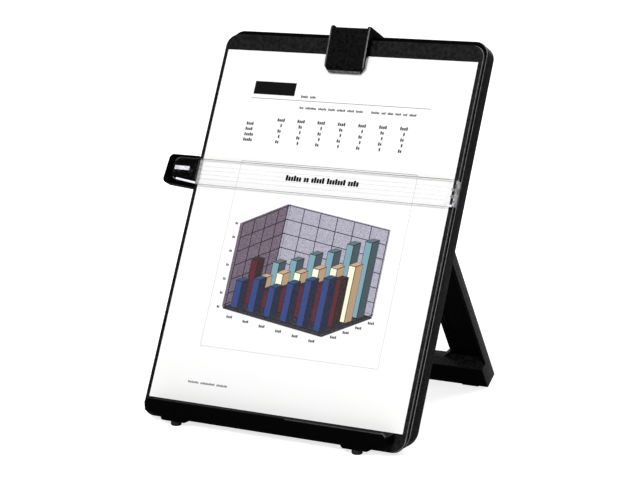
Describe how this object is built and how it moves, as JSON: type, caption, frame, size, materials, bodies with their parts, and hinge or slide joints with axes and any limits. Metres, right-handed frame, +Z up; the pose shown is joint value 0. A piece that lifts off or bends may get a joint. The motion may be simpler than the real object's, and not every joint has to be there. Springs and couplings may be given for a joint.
{
  "type": "copy holder with line guide",
  "caption": "Desktop copy holder: leaning board on a folding rear leg, paper ledge on round feet, sprung top clip and a clear sliding line guide.",
  "frame": {"origin": "on the desk, midway across, below the line on which a sheet stands", "axes": "+X to the reader's right, +Y from the reader to the back, +Z up from the desk"},
  "size_m": [0.2532, 0.2319, 0.292],
  "materials": {
    "black_shell": "fine grain",
    "black_gloss": "satin",
    "clear": "clear polished",
    "rubber": "matte",
    "steel": "plated",
    "paper": "printed",
    "nylon": "smooth",
    "label": "bare"
  },
  "bodies": {
    "board": {"front_panel": "black_shell", "spacer_frame": "black_shell", "rear_housing": "black_shell", "housing_screws": "steel", "paper_ledge": "black_shell", "ledge_screws": "steel", "ledge_pad_left": "black_shell", "ledge_pad_right": "black_shell", "front_foot_left": "rubber", "front_foot_right": "rubber", "leg_hinge_left": "nylon", "leg_hinge_right": "nylon", "hinge_screws": "steel", "leg_pin_left": "steel", "leg_pin_right": "steel", "clip_bracket": "nylon", "clip_screws": "steel", "clip_pin": "steel", "clip_spring": "steel", "copy_sheet": "paper"},
    "leg": {"leg_frame": "black_shell", "leg_foot_left": "rubber", "leg_foot_right": "rubber"},
    "clip": {"clip_lever": "black_gloss", "clip_grip_pad": "rubber"},
    "guide": {"guide_bar": "clear", "guide_slider": "black_gloss", "guide_shoe": "nylon", "guide_leaf": "steel", "guide_end_hook": "clear", "guide_rivets": "nylon", "guide_label_plate": "label"}
  },
  "joints": [
    {"name": "leg_fold", "type": "hinge", "parent": "board", "child": "leg", "pos_m": [0, 0.09652, 0.1796], "axis": [1, 0, 0], "range_deg": [-55, 0]},
    {"name": "clip_pivot", "type": "hinge", "parent": "board", "child": "clip", "pos_m": [0, 0.13295, 0.27513], "axis": [-1, 0, 0], "range_deg": [0, 20], "stiffness_Nm_per_rad": 0.25, "springref_deg": -14.32},
    {"name": "guide_slide", "type": "slide", "parent": "board", "child": "guide", "axis": [0, 0.4195, 0.9078], "range_m": [-0.155, 0.07]}
  ]
}
